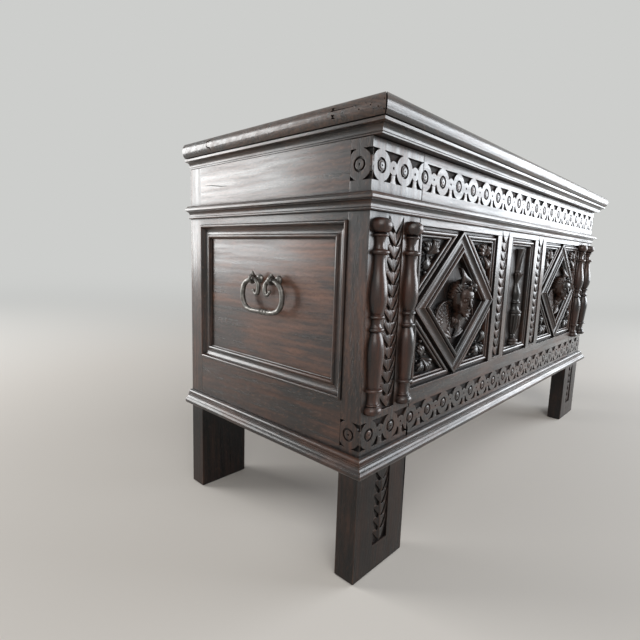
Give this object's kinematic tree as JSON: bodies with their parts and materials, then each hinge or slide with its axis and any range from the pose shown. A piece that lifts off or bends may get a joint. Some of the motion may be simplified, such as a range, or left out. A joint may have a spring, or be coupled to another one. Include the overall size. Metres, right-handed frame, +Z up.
{
  "type": "cassone",
  "caption": "Carved oak cassone on four legs: framed and panelled chest with lozenge panels, split balusters, hinged lid and swinging iron bail handles.",
  "frame": {"origin": "middle of the footprint on the floor, under the middle of the overall box", "axes": "+X to the viewer's right along the front, +Y from the carved front to the back, +Z up"},
  "size_m": [1.358, 0.5528, 0.7888],
  "materials": {
    "framing_oak": "ebonised and waxed oak, open grain, worn arrises",
    "panel_oak": "dark waxed oak with a red-brown figure",
    "carved_oak": "near-black waxed carving with rubbed highlights",
    "turned_oak": "polished dark turning with brown rubbed swellings",
    "lid_oak": "dark waxed boards with a cool sheen, dents and cracks",
    "unwaxed_oak": "dry dark oak, lightly stained",
    "wrought_iron": "hand-forged iron, waxed black, rubbed grey on the high places"
  },
  "bodies": {
    "carcass": {"back_bottom_rail": "unwaxed_oak", "back_muntin": "unwaxed_oak", "back_panel_left": "unwaxed_oak", "back_panel_right": "unwaxed_oak", "back_top_rail": "unwaxed_oak", "baluster_left_inner": "turned_oak", "baluster_left_outer": "turned_oak", "baluster_right_inner": "turned_oak", "baluster_right_outer": "turned_oak", "base_moulding_front": "framing_oak", "base_moulding_left": "framing_oak", "base_moulding_right": "framing_oak", "bottom_boards": "unwaxed_oak", "carved_urn": "carved_oak", "corner_foliage_left": "carved_oak", "corner_foliage_right": "carved_oak", "draw_bore_pegs": "unwaxed_oak", "end_bottom_rail_left": "framing_oak", "end_bottom_rail_right": "framing_oak", "end_moulding_left": "panel_oak", "end_moulding_right": "panel_oak", "end_panel_left": "panel_oak", "end_panel_right": "panel_oak", "end_top_rail_left": "framing_oak", "end_top_rail_right": "framing_oak", "front_bottom_rail": "framing_oak", "front_panel_centre": "panel_oak", "front_panel_left": "panel_oak", "front_panel_right": "panel_oak", "front_top_rail": "framing_oak", "handle_studs_left": "wrought_iron", "handle_studs_right": "wrought_iron", "hinge_body_leaves": "wrought_iron", "hinge_pins": "wrought_iron", "lozenge_left": "carved_oak", "lozenge_right": "carved_oak", "mid_moulding_front": "framing_oak", "mid_moulding_left": "framing_oak", "mid_moulding_right": "framing_oak", "muntin_left": "framing_oak", "muntin_right": "framing_oak", "sight_moulding_centre": "panel_oak", "sight_moulding_left": "panel_oak", "sight_moulding_right": "panel_oak", "stile_front_left": "framing_oak", "stile_front_right": "framing_oak", "stile_rear_left": "framing_oak", "stile_rear_right": "framing_oak", "winged_head_left": "carved_oak", "winged_head_right": "carved_oak"},
    "lid": {"hinge_lid_leaves": "wrought_iron", "lid_batten_rear": "lid_oak", "lid_board_front": "lid_oak", "lid_board_middle": "lid_oak", "lid_board_rear": "lid_oak", "lid_moulding_front": "lid_oak", "lid_moulding_left": "lid_oak", "lid_moulding_right": "lid_oak"},
    "bail_left": {"bail_left": "wrought_iron"},
    "bail_right": {"bail_right": "wrought_iron"}
  },
  "joints": [
    {"name": "lid_hinge", "type": "hinge", "parent": "carcass", "child": "lid", "pos_m": [0, 0.2712, 0.7384], "axis": [-1, 0, 0], "range_deg": [0, 100]},
    {"name": "bail_left_swing", "type": "hinge", "parent": "carcass", "child": "bail_left", "pos_m": [-0.669, 0.0006, 0.51], "axis": [0, 1, 0], "range_deg": [-8, 110]},
    {"name": "bail_right_swing", "type": "hinge", "parent": "carcass", "child": "bail_right", "pos_m": [0.669, 0.0006, 0.51], "axis": [0, -1, 0], "range_deg": [-8, 110]}
  ]
}
